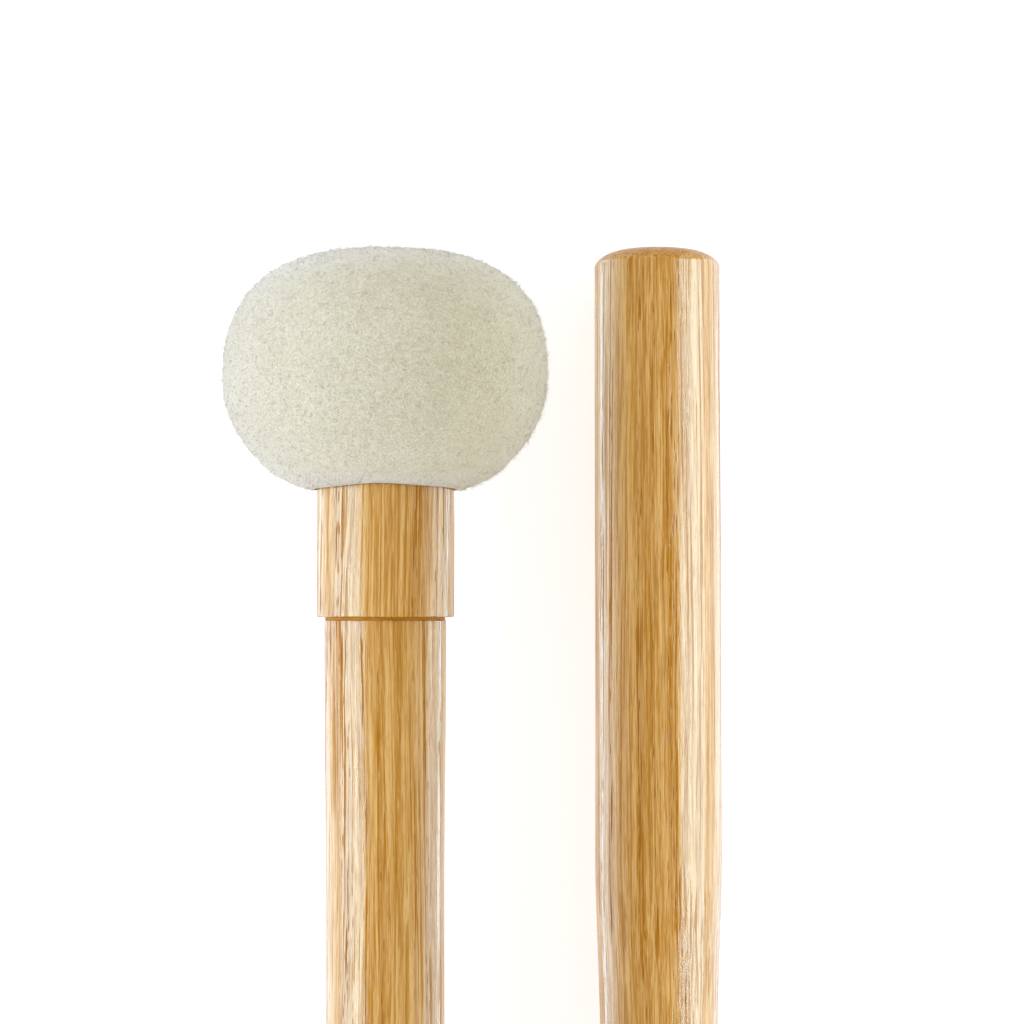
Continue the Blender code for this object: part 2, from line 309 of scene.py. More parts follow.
def lacquered_ash(name):
    """Ash under clear lacquer, from the piece's place in the plank.

    The tree's middle is the axis of the plank's coordinates, and the rings are even steps of
    distance from it, bent by slow noise. Each ring opens with a band of long pores, then
    grows dense and smooth. Streaks and fibres are noise drawn out along the grain. The lacquer
    is thinner on end grain, and it sinks into open pores and dark lines. Sizes are millimetres.
    """
    material, tree, shader = new_material(name)
    plank = node(tree, "Attribute", attribute_name="plank_place").outputs["Vector"]

    bend = cloudy(tree, stretched(tree, plank, 34, 170), 1.0, output=1)
    waver = cloudy(tree, stretched(tree, plank, 2.4, 26), 2.0, output=1)
    bent = node(
        tree,
        "VectorMath",
        {0: bend, 1: (7.0, 7.0, 0), 2: plank},
        operation="MULTIPLY_ADD",
    ).outputs[0]
    bent = node(
        tree,
        "VectorMath",
        {0: waver, 1: (0.6, 0.6, 0), 2: bent},
        operation="MULTIPLY_ADD",
    ).outputs[0]
    flat = node(tree, "VectorMath", {0: bent, 1: (1, 1, 0)}, operation="MULTIPLY").outputs[0]
    from_middle = node(tree, "VectorMath", {0: flat}, operation="LENGTH").outputs["Value"]
    ring_width, spread_width = 2.35, 6.0
    years = sums(tree, "DIVIDE", from_middle, ring_width)
    spread = node(
        tree,
        "TexNoise",
        {"W": sums(tree, "DIVIDE", from_middle, spread_width), "Scale": 1.0, "Detail": 1.0},
        noise_dimensions="1D",
    ).outputs[0]
    years = sums(tree, "ADD", years, sums(tree, "MULTIPLY", spread, 2.2))
    season = sums(tree, "FRACT", years)
    spring = sums(
        tree,
        "MULTIPLY",
        between(tree, season, 0.0, 0.07),
        between(tree, season, 0.16, 0.50, 1.0, 0.0),
    )

    broad_streak = cloudy(tree, stretched(tree, bent, 1.2, 80), 2.0)
    streak = cloudy(tree, stretched(tree, bent, 0.55, 60), 2.0)
    thin_streak = cloudy(tree, stretched(tree, bent, 0.21, 13), 2.0, 0.6)
    dark_line = cloudy(tree, stretched(tree, bent, 0.34, 48), 1.0)
    fibre = cloudy(tree, stretched(tree, plank, 0.13, 3.2), 2.0, 0.65)

    def pores(width, length, size, shift):
        """Long thin cells, one pore in the middle of each."""
        drawn = stretched(tree, bent, width, length)
        drawn = node(tree, "VectorMath", {0: drawn, 1: (shift,) * 3}).outputs[0]
        cell = node(tree, "TexVoronoi", {"Vector": drawn, "Scale": 1.0}).outputs["Distance"]
        return between(tree, cell, size * 0.5, size, 1.0, 0.0)

    crowding = between(tree, cloudy(tree, stretched(tree, bent, 0.8, 24), 2.0), 0.42, 0.60)
    long_pores = sums(tree, "MULTIPLY", pores(0.48, 13.0, 0.36, 0.0), crowding)
    short_pores = pores(0.36, 3.4, 0.32, 7.7)
    open_pores = sums(tree, "MAXIMUM", long_pores, sums(tree, "MULTIPLY", short_pores, 0.75))
    share = sums(tree, "MULTIPLY_ADD", spring, 0.80, 0.32)
    open_pores = sums(tree, "MULTIPLY", open_pores, share, clamped=True)

    honey, pale = (0.47, 0.210, 0.010, 1), (0.72, 0.445, 0.135, 1)
    ochre, brown = (0.40, 0.160, 0.005, 1), (0.315, 0.115, 0.002, 1)
    line_brown = (0.385, 0.152, 0.003, 1)
    end_brown, end_straw = (0.30, 0.118, 0.004, 1), (0.50, 0.215, 0.012, 1)
    grain = sums(tree, "MULTIPLY_ADD", streak, 0.35, sums(tree, "MULTIPLY", thin_streak, 0.42))
    grain = sums(tree, "MULTIPLY_ADD", broad_streak, 0.23, grain)
    wood = tinted(tree, between(tree, grain, 0.405, 0.62), honey, pale)
    wood = tinted(tree, sums(tree, "MULTIPLY", spring, 0.42), wood, ochre)
    dark_share = sums(tree, "MULTIPLY_ADD", spring, 0.40, 0.60)
    dark_share = sums(tree, "MULTIPLY", between(tree, dark_line, 0.57, 0.61), dark_share)
    wood = tinted(tree, dark_share, wood, line_brown)
    wood = tinted(tree, between(tree, fibre, 0.52, 0.72, 0, 0.65), wood, pale)
    wood = tinted(tree, between(tree, fibre, 0.48, 0.28, 0, 0.65), wood, ochre)
    wood = tinted(tree, sums(tree, "MULTIPLY", open_pores, 0.90), wood, brown)
    end = node(tree, "Attribute", attribute_name="end_grain").outputs["Fac"]
    end_share = between(tree, end, 0.30, 0.97, 0.0, 0.65)
    end_tone = tinted(tree, between(tree, fibre, 0.35, 0.65), end_brown, end_straw)
    wood = tinted(tree, end_share, wood, end_tone)
    tree.links.new(wood, shader.inputs["Base Color"])

    rough = sums(tree, "MULTIPLY_ADD", open_pores, 0.25, 0.42)
    tree.links.new(rough, shader.inputs["Roughness"])
    relief = sums(tree, "MULTIPLY_ADD", open_pores, -1.0, sums(tree, "MULTIPLY", fibre, 0.35))
    dents = node(tree, "Bump", {"Height": relief, "Strength": 1.0, "Distance": 0.04 * MM})
    tree.links.new(dents.outputs[0], shader.inputs["Normal"])
    relief = sums(tree, "MULTIPLY_ADD", thin_streak, 0.9, relief)
    skin = node(tree, "Bump", {"Height": relief, "Strength": 1.0, "Distance": 0.020 * MM})
    tree.links.new(skin.outputs[0], shader.inputs["Coat Normal"])
    lacquer = between(tree, end, 0.30, 0.97, 1.0, 0.5)
    broken = sums(tree, "MAXIMUM", open_pores, dark_share)
    broken = sums(tree, "MULTIPLY_ADD", broken, -1.0, 1.0, clamped=True)
    lacquer = sums(tree, "MULTIPLY", lacquer, broken)
    lacquer = sums(tree, "MULTIPLY", lacquer, between(tree, thin_streak, 0.36, 0.62, 0.88, 1.0))
    tree.links.new(lacquer, shader.inputs["Coat Weight"])
    shader.inputs["Specular IOR Level"].default_value = 0.05
    shader.inputs["Coat Roughness"].default_value = 0.09
    shader.inputs["Coat IOR"].default_value = 1.5
    return material


def dress(piece, material, slot, number, *nodes):
    """Gives a piece its material, and ties it to its mallet and to the solids it stands for."""
    piece.data.materials.append(material)
    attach(piece, f"mallet_{number}")
    if nodes:
        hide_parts(*nodes)


ash = lacquered_ash("lacquered_ash")

crown = bulge(BUTT_RADIUS - BUTT_FLAT_RADIUS, BUTT_CROWN_HEIGHT, 1.7, 90, 0, 18)
crown = np.stack([BUTT_FLAT_RADIUS + crown[:, 0], BUTT_CROWN_HEIGHT - crown[:, 1]], axis=1)
grip_end = (BUTT_RADIUS, GRIP_LENGTH)
waist_start = (WAIST_RADIUS, GRIP_LENGTH + GRIP_TAPER_LENGTH)
waist_end = (WAIST_RADIUS, SHOULDER_PLACE - SHOULDER_FLARE_LENGTH)
shoulder = (SHOULDER_RADIUS, SHOULDER_PLACE)
handle_line = np.concatenate(
    [
        [(0, 0)],
        crown,
        sloped(grip_end, waist_start, 14),
        sloped(waist_end, shoulder, 16),
        [(SPIGOT_RADIUS, SHOULDER_PLACE)],
        [(SPIGOT_RADIUS, SPIGOT_END - 0.6 * MM)],
        [(SPIGOT_RADIUS - 0.6 * MM, SPIGOT_END)],
        [(0, SPIGOT_END)],
    ]
)
handle_line = filled(broken_edges(handle_line, 0.22 * MM), 1.6 * MM)

for number, turn, offset in ((1, 20, (46, -9, 0)), (2, 75, (38, 22, 900))):
    angle, radius, height = on_grid(handle_line, 112)
    local = place_in_stick(angle, radius, height)
    radius = radius * (1 + 0.0025 * ripple(local * (1, 1, 0.35), 14, 40 + number))
    looks = {
        "plank_place": in_plank(angle, radius, height, turn, offset),
        "end_grain": end_on(radius, height),
    }
    handle = turned(f"mallet_{number}_handle_turned", number, angle, radius, height, looks, False)
    dress(handle, ash, "handle_ash", number, f"mallet_{number}_handle")


# ---- Collars --------------------------------------------------------------------------------
# A short ash sleeve, bored to slip over the spigot and counterbored at its top for the bound
# neck of the felt. It is cut from another plank, so its grain doesn't run on into the stick.
NECK_INNER = 5.05 * MM
COUNTERBORE_RADIUS = 7.5 * MM
COUNTERBORE_DEPTH = 5.9 * MM
COLLAR_RADIUS = 8.6 * MM
COLLAR_LENGTH = 16.6 * MM
COLLAR_PLACE = 322.274 * MM

collar_line = np.array(
    [
        (NECK_INNER, COLLAR_LENGTH / 3),
        (NECK_INNER, 0),
        (COLLAR_RADIUS, 0),
        (COLLAR_RADIUS, COLLAR_LENGTH),
        (COUNTERBORE_RADIUS, COLLAR_LENGTH),
        (COUNTERBORE_RADIUS, COLLAR_LENGTH - COUNTERBORE_DEPTH),
        (NECK_INNER, COLLAR_LENGTH - COUNTERBORE_DEPTH),
        (NECK_INNER, COLLAR_LENGTH / 3 + 0.2 * MM),
    ]
)
collar_line = filled(broken_edges(collar_line, 0.3 * MM), 0.7 * MM)

for number, turn, offset in ((1, 112, (30, 14, 300)), (2, 10, (52, 3, 1500))):
    angle, radius, height = on_grid(collar_line, 128)
    local = place_in_stick(angle, radius, height)
    radius = radius * (1 + 0.0022 * ripple(local, 11, 50 + number))
    looks = {
        "plank_place": in_plank(angle, radius, height, turn, offset),
        "end_grain": end_on(radius, height),
    }
    height = height + COLLAR_PLACE
    collar = turned(f"mallet_{number}_collar_turned", number, angle, radius, height, looks, True)
    dress(collar, ash, "collar_ash", number, f"mallet_{number}_collar")


# ---- Joint lines ----------------------------------------------------------------------------
# Amber glue squeezed out between collar and shoulder. It was wiped off while wet, so it fills
# the joint to just under the stick's surface.
GLUE_DEPTH = 0.10 * MM


def amber_glue(name):
    """Hard glue in two clouded tones of amber, half dull."""
    material, tree, shader = new_material(name)
    place = node(tree, "Attribute", attribute_name="plank_place").outputs["Vector"]
    tone = cloudy(tree, stretched(tree, place, 1.4, 1.4), 3.0, 0.6)
    colour = tinted(tree, tone, (0.56, 0.255, 0.014, 1), (0.40, 0.160, 0.004, 1))
    tree.links.new(colour, shader.inputs["Base Color"])
    rough = sums(tree, "MULTIPLY_ADD", tone, 0.3, 0.45)
    tree.links.new(rough, shader.inputs["Roughness"])
    bump = node(tree, "Bump", {"Height": tone, "Strength": 0.5, "Distance": 0.05 * MM})
    tree.links.new(bump.outputs[0], shader.inputs["Normal"])
    shader.inputs["Specular IOR Level"].default_value = 0.12
    return material


glue = amber_glue("amber_glue")
joint_low, joint_high = SHOULDER_PLACE - 0.03 * MM, COLLAR_PLACE + 0.03 * MM
joint_line = np.array(
    [
        (SPIGOT_RADIUS + 0.2 * MM, (joint_low + joint_high) / 2),
        (SPIGOT_RADIUS + 0.2 * MM, joint_low),
        (SHOULDER_RADIUS - GLUE_DEPTH, joint_low),
        (SHOULDER_RADIUS - GLUE_DEPTH, joint_high),
        (SPIGOT_RADIUS + 0.2 * MM, joint_high),
        (SPIGOT_RADIUS + 0.2 * MM, (joint_low + joint_high) / 2 + 0.02 * MM),
    ]
)
joint_line = filled(broken_edges(joint_line, 0.08 * MM), 0.4 * MM)

for number in (1, 2):
    angle, radius, height = on_grid(joint_line, 160)
    local = place_in_stick(angle, radius, height)
    outer = radius > SHOULDER_RADIUS - 0.5 * MM
    radius = radius + outer * 0.06 * MM * ripple(local * (1, 1, 0), 2.2, 55 + number)
    looks = {"plank_place": local}
    joint = turned(f"mallet_{number}_joint_glue", number, angle, radius, height, looks, True)
    dress(joint, glue, "handle_ash", number)


# ---- Head cores -----------------------------------------------------------------------------
# A turned birch core, bored through and glued on the end of the spigot. It is left raw inside
# the felts: flat on top, rounded at its edge, and drawn in towards the stick at its foot.
HEAD_MIDDLE = 351.9 * MM
CORE_RADIUS = 13.0 * MM
CORE_TOP = 8.3 * MM
CORE_EDGE_RADIUS = 2.5 * MM
CORE_FOOT_RADIUS = NECK_INNER + 2.2 * MM
CAVITY_DROP = 11.65 * MM
CROWN_SQUARENESS = 2.6
BASE_SQUARENESS = 2.06


def turn_at_radius(radius, widest, squareness):
    """The turn, in degrees, at which a bulge has narrowed to this radius."""
    return math.degrees(math.acos((radius / widest) ** (squareness / 2)))


def raw_birch(name):
    """Pale bare birch: close rings across the blank, fine fibres along it, and a few flecks."""
    material, tree, shader = new_material(name)
    plank = node(tree, "Attribute", attribute_name="plank_place").outputs["Vector"]
    ring = cloudy(tree, stretched(tree, plank, 1.3, 60), 3.0)
    fibre = cloudy(tree, stretched(tree, plank, 0.12, 3.5), 2.0, 0.6)
    fleck = cloudy(tree, stretched(tree, plank, 0.5, 2.2), 1.0)
    wood = tinted(tree, ring, (0.74, 0.58, 0.37, 1), (0.60, 0.43, 0.24, 1))
    wood = tinted(tree, between(tree, fibre, 0.45, 0.7, 0, 0.4), wood, (0.82, 0.69, 0.49, 1))
    wood = tinted(tree, between(tree, fleck, 0.66, 0.74, 0, 0.5), wood, (0.42, 0.26, 0.12, 1))
    tree.links.new(wood, shader.inputs["Base Color"])
    rough = sums(tree, "MULTIPLY_ADD", fibre, 0.18, 0.62)
    tree.links.new(rough, shader.inputs["Roughness"])
    bump = node(tree, "Bump", {"Height": fibre, "Strength": 0.6, "Distance": 0.03 * MM})
    tree.links.new(bump.outputs[0], shader.inputs["Normal"])
    return material


birch = raw_birch("raw_birch")
core_edge = bulge(CORE_EDGE_RADIUS, CORE_EDGE_RADIUS, 2, 90, 0, 10)
core_edge += (CORE_RADIUS - CORE_EDGE_RADIUS, CORE_TOP - CORE_EDGE_RADIUS)
foot_turn = turn_at_radius(CORE_FOOT_RADIUS, CORE_RADIUS, BASE_SQUARENESS)
core_side = bulge(CORE_RADIUS, -(CAVITY_DROP - GAP), BASE_SQUARENESS, 0, foot_turn, 26)
core_line = np.concatenate(
    [
        [(NECK_INNER, 0)],
        [(NECK_INNER, CORE_TOP)],
        core_edge,
        core_side,
        [(NECK_INNER, core_side[-1, 1])],
        [(NECK_INNER, -0.2 * MM)],
    ]
)
core_line = filled(broken_edges(core_line, 0.25 * MM), 0.8 * MM)

for number in (1, 2):
    angle, radius, height = on_grid(core_line, 96)
    local = place_in_stick(angle, radius, height)
    ridges = 0.012 * MM * np.sin(height / MM * math.tau / 0.9) * (radius > NECK_INNER + GAP)
    radius = radius + ridges * (1 - end_on(radius, height))
    looks = {"plank_place": local + np.array((60.0 * number, 0, 0))}
    height = height + HEAD_MIDDLE
    core = turned(f"mallet_{number}_core_turned", number, angle, radius, height, looks, True)
    dress(core, birch, "raw_birch", number, f"mallet_{number}_head_core")


# ---- Liner wraps ----------------------------------------------------------------------------
# A strip of firm felt wound once round the core, drawn in under it at its lower edge. Its two
# ends meet in a butt seam that is glued shut.
CAVITY_RISE = 12.7 * MM
LINER_RADIUS = 16.3 * MM
LINER_INNER = CORE_RADIUS + GAP
LINER_TOP = CORE_TOP - 1.0 * MM
LINER_REACH = 46.0


def felted(name, light, dark, clump, nap):
    """Wool felt: clumps of fibre a few tenths of a millimetre wide in two tones of one colour.

    Darker specks are painted shade between the clumps. Short fibre marks lie over them, every way
    round, and the same marks lift the surface.
    Clump is the size of the clumps in millimetres, and nap how high they stand.
    """
    material, tree, shader = new_material(name)
    wool = node(tree, "Attribute", attribute_name="wool_place").outputs["Vector"]
    broad = cloudy(tree, stretched(tree, wool, 20 * clump, 20 * clump), 1.0)
    clumps = cloudy(tree, stretched(tree, wool, clump, clump), 3.0, 0.65)
    one_way = cloudy(tree, stretched(tree, wool, 0.10, 0.5), 2.0, 0.6)
    swung = node(
        tree,
        "VectorRotate",
        {"Vector": wool, "Axis": (0.5, 0.7, 0.4), "Angle": 1.3},
    ).outputs[0]
    other_way = cloudy(tree, stretched(tree, swung, 0.10, 0.5), 2.0, 0.6)
    fibres = sums(tree, "MAXIMUM", one_way, other_way)
    shade = sums(tree, "MULTIPLY_ADD", clumps, 0.88, sums(tree, "MULTIPLY", broad, 0.12))
    shade = between(tree, shade, 0.32, 0.68)
    wool_colour = tinted(tree, shade, dark, light)
    # Painted shade: darker specks between the clumps, where shade falls among the fibres.
    gap_shade = cloudy(tree, stretched(tree, wool, 0.55 * clump, 0.55 * clump), 1.0)
    shadow = tuple(0.72 * part for part in dark[:3]) + (1,)
    wool_colour = tinted(tree, between(tree, gap_shade, 0.57, 0.72, 0, 0.60), wool_colour, shadow)
    wool_colour = tinted(tree, between(tree, fibres, 0.60, 0.80, 0, 0.28), wool_colour, light)
    tree.links.new(wool_colour, shader.inputs["Base Color"])
    rough = sums(tree, "MULTIPLY_ADD", clumps, 0.10, 0.88)
    tree.links.new(rough, shader.inputs["Roughness"])
    relief = sums(tree, "ADD", clumps, sums(tree, "MULTIPLY", fibres, 0.5))
    bump = node(tree, "Bump", {"Height": relief, "Strength": 1.0, "Distance": nap * MM})
    tree.links.new(bump.outputs[0], shader.inputs["Normal"])
    shader.inputs["Specular IOR Level"].default_value = 0.1
    shader.inputs["Sheen Weight"].default_value = 0.9
    shader.inputs["Sheen Roughness"].default_value = 0.40
    return material


backing = felted("backing_felt", (0.62, 0.58, 0.48, 1), (0.47, 0.43, 0.33, 1), 0.45, 0.10)
inner = bulge(LINER_INNER, -CAVITY_DROP, BASE_SQUARENESS, 0, LINER_REACH, 18)
under = bulge(LINER_RADIUS, -(CAVITY_DROP - GAP), BASE_SQUARENESS, LINER_REACH, 0, 18)
liner_rise = CAVITY_RISE - GAP
top_turn = math.degrees(math.asin((LINER_TOP / liner_rise) ** (CROWN_SQUARENESS / 2)))
above = bulge(LINER_RADIUS, liner_rise, CROWN_SQUARENESS, 0, top_turn, 12)
liner_line = np.concatenate(
    [
        [(LINER_INNER, LINER_TOP / 2)],
        inner,
        under,
        above[1:],
        [(LINER_INNER, LINER_TOP)],
        [(LINER_INNER, LINER_TOP / 2 + 0.2 * MM)],
    ]
)
liner_line = filled(broken_edges(liner_line, 0.6 * MM), 0.5 * MM)

for number in (1, 2):
    angle, radius, height = on_grid(liner_line, 240)
    local = place_in_stick(angle, radius, height)
    outside = np.clip((radius - LINER_INNER) / (1.5 * MM), 0, 1)
    seam = np.exp(-((np.sin((angle - 2.2) / 2) * 2 * LINER_RADIUS / (0.35 * MM)) ** 2))
    radius = radius - (0.35 * MM * seam + 0.05 * MM * (1 + ripple(local, 1.6, 61))) * outside
    looks = {"wool_place": local + np.array((0, 0, 80.0 * number))}
    height = height + HEAD_MIDDLE
    liner = turned(f"mallet_{number}_liner_felt", number, angle, radius, height, looks, True)
    dress(liner, backing, "backing_felt", number, f"mallet_{number}_liner_wrap")


# ---- Crown pads -----------------------------------------------------------------------------
# A disc of the same firm felt, glued on top of the core and shaved to a dome at its edge. It
# keeps the wood from sounding through the crown.
PAD_RADIUS = CORE_RADIUS - 0.5 * MM

edge_turn = turn_at_radius(PAD_RADIUS, LINER_RADIUS, CROWN_SQUARENESS)
dome = bulge(LINER_RADIUS, CAVITY_RISE - GAP, CROWN_SQUARENESS, edge_turn, 90, 30)
underside = CORE_TOP + GAP
pad_line = np.concatenate([[(0, underside)], [(PAD_RADIUS, underside)], dome])
pad_line = filled(broken_edges(pad_line, 0.6 * MM), 0.5 * MM)

for number in (1, 2):
    angle, radius, height = on_grid(pad_line, 160)
    local = place_in_stick(angle, radius, height)
    sides = end_on(radius, height)
    unevenness = 0.05 * MM * (1 + ripple(local, 1.5, 71)) * np.clip(radius / PAD_RADIUS, 0, 1)
    radius = radius - unevenness * (1 - sides)
    height = height - unevenness * sides * (height > underside + GAP)
    looks = {"wool_place": local + np.array((35.0, 0, 80.0 * number))}
    height = height + HEAD_MIDDLE
    pad = turned(f"mallet_{number}_pad_felt", number, angle, radius, height, looks, False)
    dress(pad, backing, "backing_felt", number, f"mallet_{number}_crown_pad")


# ---- Felt covers ----------------------------------------------------------------------------
# One thick soft wool felt, drawn over the core and its pads until it is tight, with no seam. Its
# neck is gathered in pleats round the spigot, down inside the collar's counterbore.
HEAD_RADIUS = 20.3 * MM
HEAD_RISE = 16.4 * MM
HEAD_DROP = 15.35 * MM
CAVITY_RADIUS = 16.6 * MM
LIP_RADIUS = 11.3 * MM
RECESS_RADIUS = 8.9 * MM
NECK_OUTER = 6.25 * MM
SKIRT_RADIUS = 7.0 * MM
RIM_HEIGHT = -13.026 * MM
BASE_HEIGHT = -13.626 * MM
SKIRT_TOP = -16.926 * MM
NECK_MOUTH = -18.126 * MM
PLEATS = 22
FOOT_SWELL = 0.38 * MM
FOOT_HEIGHT = -11.4 * MM
FOOT_REACH = 1.7 * MM
BASE_SAG = 0.30 * MM
BASE_WAVE = 0.05 * MM
BASE_LIFT = 0.18 * MM

lip_turn = turn_at_radius(LIP_RADIUS, HEAD_RADIUS, BASE_SQUARENESS)
above = bulge(HEAD_RADIUS, HEAD_RISE, CROWN_SQUARENESS, 90, 0, 160)
below = bulge(HEAD_RADIUS, -HEAD_DROP, BASE_SQUARENESS, 0, lip_turn, 120)
fall = below[-1] - below[-2]
corner = below[-1] + fall * (BASE_HEIGHT - below[-1, 1]) / fall[1]
part = np.linspace(0, 1, 14)[:, None]
lip = (1 - part) ** 2 * below[-1] + 2 * part * (1 - part) * corner
lip += part**2 * (RECESS_RADIUS, BASE_HEIGHT)
outside_line = np.concatenate([above, below[1:], lip[1:]])
gone = np.linalg.norm(np.diff(outside_line, axis=0), axis=1).cumsum()
gone = np.concatenate([[0], gone])
even = np.linspace(0, gone[-1], 150)
outside_line = np.stack([np.interp(even, gone, outside_line[:, i]) for i in (0, 1)], axis=1)
neck_turn = turn_at_radius(NECK_INNER, CAVITY_RADIUS, BASE_SQUARENESS)
inside_below = bulge(CAVITY_RADIUS, -CAVITY_DROP, BASE_SQUARENESS, neck_turn, 0, 18)
inside_above = bulge(CAVITY_RADIUS, CAVITY_RISE, CROWN_SQUARENESS, 0, 90, 14)
neck_line = np.array(
    [
        (RECESS_RADIUS, BASE_HEIGHT),
        (RECESS_RADIUS, RIM_HEIGHT + GAP),
        (NECK_OUTER, RIM_HEIGHT + GAP),
        (NECK_OUTER, SKIRT_TOP),
        (SKIRT_RADIUS, SKIRT_TOP),
        (SKIRT_RADIUS, NECK_MOUTH),
        (NECK_INNER, NECK_MOUTH),
        (NECK_INNER, inside_below[0, 1]),
    ]
)
neck_line = filled(broken_edges(neck_line, 0.25 * MM), 1.0 * MM)
cover_line = np.concatenate([outside_line, neck_line[1:], inside_below[1:], inside_above[1:]])
cover_felt = felted("cover_felt", (0.75, 0.715, 0.535, 1), (0.575, 0.535, 0.350, 1), 0.28, 0.13)


def cover_surface(angle, row, number):
    """Radius and height on the outside of a cover, at any angle and any row of its outline.

    The even outline is moved along its own normal by broad dents of a few centimetres, lumps
    of a few millimetres and clumps of about one, each a sum of sine waves. Its foot is fuller by
    a bell curve over the height. Its base hangs lower on the two sides than between them, by a
    cosine of twice the angle and a small one of five times it, and is lifted a little all round.
    """
    rows = np.arange(len(cover_line))
    radius, height = (np.interp(row, rows, cover_line[:, i]) for i in (0, 1))
    slope = np.gradient(cover_line, axis=0)
    slope /= np.maximum(np.linalg.norm(slope, axis=1, keepdims=True), 1e-12)
    out = -np.interp(row, rows, slope[:, 1])
    up = np.interp(row, rows, slope[:, 0])
    local = place_in_stick(angle, radius, height)
    lumps = 0.09 * ripple(local, 30, 80 + number) + 0.022 * ripple(local, 6, 82 + number)
    lumps = (lumps + 0.030 * ripple(local, 1.3, 84 + number)) * MM
    lumps = lumps * np.clip(radius / (2 * MM), 0, 1)
    lumps = lumps + FOOT_SWELL * np.exp(-(((height - FOOT_HEIGHT) / FOOT_REACH) ** 2))
    fade = np.clip((len(outside_line) - 3 - row) / 5, 0, 1)
    low = np.clip((14.5 * MM - radius) / (5.0 * MM), 0, 1) * (height < 0)
    low = low * low * (3 - 2 * low)
    hang = BASE_SAG * np.cos(2 * angle) + BASE_WAVE * np.cos(5 * angle + number) - BASE_LIFT
    hang = hang * low * (row < len(outside_line) + 2)
    return radius + lumps * out * fade, height + lumps * up * fade - hang, out, up


for number in (1, 2):
    angle, radius, height = on_grid(cover_line, 384)
    row = np.broadcast_to(np.arange(len(cover_line))[:, None], angle.shape)
    local = place_in_stick(angle, radius, height)
    radius, height, _, _ = cover_surface(angle, row, number)
    pleat = 0.5 + 0.5 * np.cos(PLEATS * angle + 2 * np.sin(3 * angle))
    on_neck = (height < RIM_HEIGHT) & (radius < NECK_OUTER + 0.05 * MM)
    on_neck &= radius > NECK_OUTER - 0.05 * MM
    on_skirt = (height < SKIRT_TOP + 0.05 * MM) & (radius > NECK_OUTER + 0.1 * MM)
    radius = radius - pleat * MM * (0.28 * on_neck + 0.30 * on_skirt)
    looks = {"wool_place": local + np.array((0, 0, 120.0 * number))}
    height = height + HEAD_MIDDLE
    cover = turned(f"mallet_{number}_cover_felt", number, angle, radius, height, looks, False)
    dress(cover, cover_felt, "cover_felt", number, f"mallet_{number}_felt_cover")


# ---- Nap ------------------------------------------------------------------------------------
# Loose wool fibres that stand out of the cover. Each is a thin three-sided spike in two lengths,
# rooted in the felt, that leans over and bends back towards it.
NAP_FIBRES = 15000


def nap_fibres(name, number, seed):
    """Thousands of spikes over a cover's outside, more where its outline sweeps more surface.

    A root's row is drawn in proportion to radius times step of the outline. The spike leaves
    at a random lean between the normal and a random heading along the surface, and its tip
    has leaned further. Rings of three points stand round the root and the bend.
    """
    dice = np.random.default_rng(seed)
    step = np.linalg.norm(np.diff(outside_line, axis=0), axis=1)
    share = np.concatenate([[0], np.cumsum(step * (outside_line[1:, 0] + 0.2 * MM))])
    row = np.interp(dice.uniform(0, share[-1], NAP_FIBRES), share, np.arange(len(share)))
    row = np.clip(row, 0.5, len(outside_line) - 4)
    angle = dice.uniform(0, math.tau, NAP_FIBRES)
    radius, height, out, up = cover_surface(angle, row, number)
    side = np.stack([np.cos(angle), np.sin(angle), 0 * angle], axis=1)
    root = side * radius[:, None] + np.array((0, 0, 1)) * (height + HEAD_MIDDLE)[:, None]
    normal = side * out[:, None] + np.array((0, 0, 1)) * up[:, None]
    heading = np.cross(normal, dice.normal(size=(NAP_FIBRES, 3)))
    heading /= np.linalg.norm(heading, axis=1, keepdims=True)
    lean = np.radians(dice.uniform(25, 80, (NAP_FIBRES, 1)))
    length = MM * dice.uniform(0.4, 1.3, (NAP_FIBRES, 1)) * dice.uniform(0.5, 1, (NAP_FIBRES, 1))
    first = normal * np.cos(lean) + heading * np.sin(lean)
    lean = np.minimum(lean + np.radians(dice.uniform(5, 60, (NAP_FIBRES, 1))), 1.75)
    second = normal * np.cos(lean) + heading * np.sin(lean)
    start = root - normal * 0.06 * MM
    bend = start + first * length * 0.5
    tip = bend + second * length * 0.5
    across = np.cross(first, heading + 0.3 * normal)
    across /= np.maximum(np.linalg.norm(across, axis=1, keepdims=True), 1e-9)
    other = np.cross(first, across)
    thick = MM * dice.uniform(0.014, 0.026, (NAP_FIBRES, 1))
    thirds = np.arange(3) * math.tau / 3
    ring = across[:, None] * np.cos(thirds)[:, None] + other[:, None] * np.sin(thirds)[:, None]
    local = np.concatenate(
        [
            start[:, None] + ring * thick[:, None],
            bend[:, None] + ring * 0.8 * thick[:, None],
            tip[:, None],
        ],
        axis=1,
    )
    butt, right, up_axis, along = stick_axes(number)
    points = butt + local @ np.stack([right, up_axis, along])
    points[..., 2] = np.maximum(points[..., 2], 0.03 * MM)
    k = np.arange(3)
    sides = np.stack([k, (k + 1) % 3, (k + 1) % 3 + 3, k + 3], axis=1)
    ends = np.stack([k + 3, (k + 1) % 3 + 3, 0 * k + 6], axis=1)
    base = np.array([[2, 1, 0]])
    shift = 7 * np.arange(NAP_FIBRES)[:, None, None]
    quads = (shift + sides).reshape(-1, 4)
    triangles = (shift + np.concatenate([ends, base])).reshape(-1, 3)
    corners = np.concatenate([quads.ravel(), triangles.ravel()])
    sizes = np.concatenate([np.full(len(quads), 4), np.full(len(triangles), 3)])
    looks = {"wool_place": local.reshape(-1, 3) / MM}
    return new_piece(name, points.reshape(-1, 3), corners, sizes, looks)


for number in (1, 2):
    nap = nap_fibres(f"mallet_{number}_cover_nap", number, 90 + number)
    dress(nap, cover_felt, "cover_felt", number)


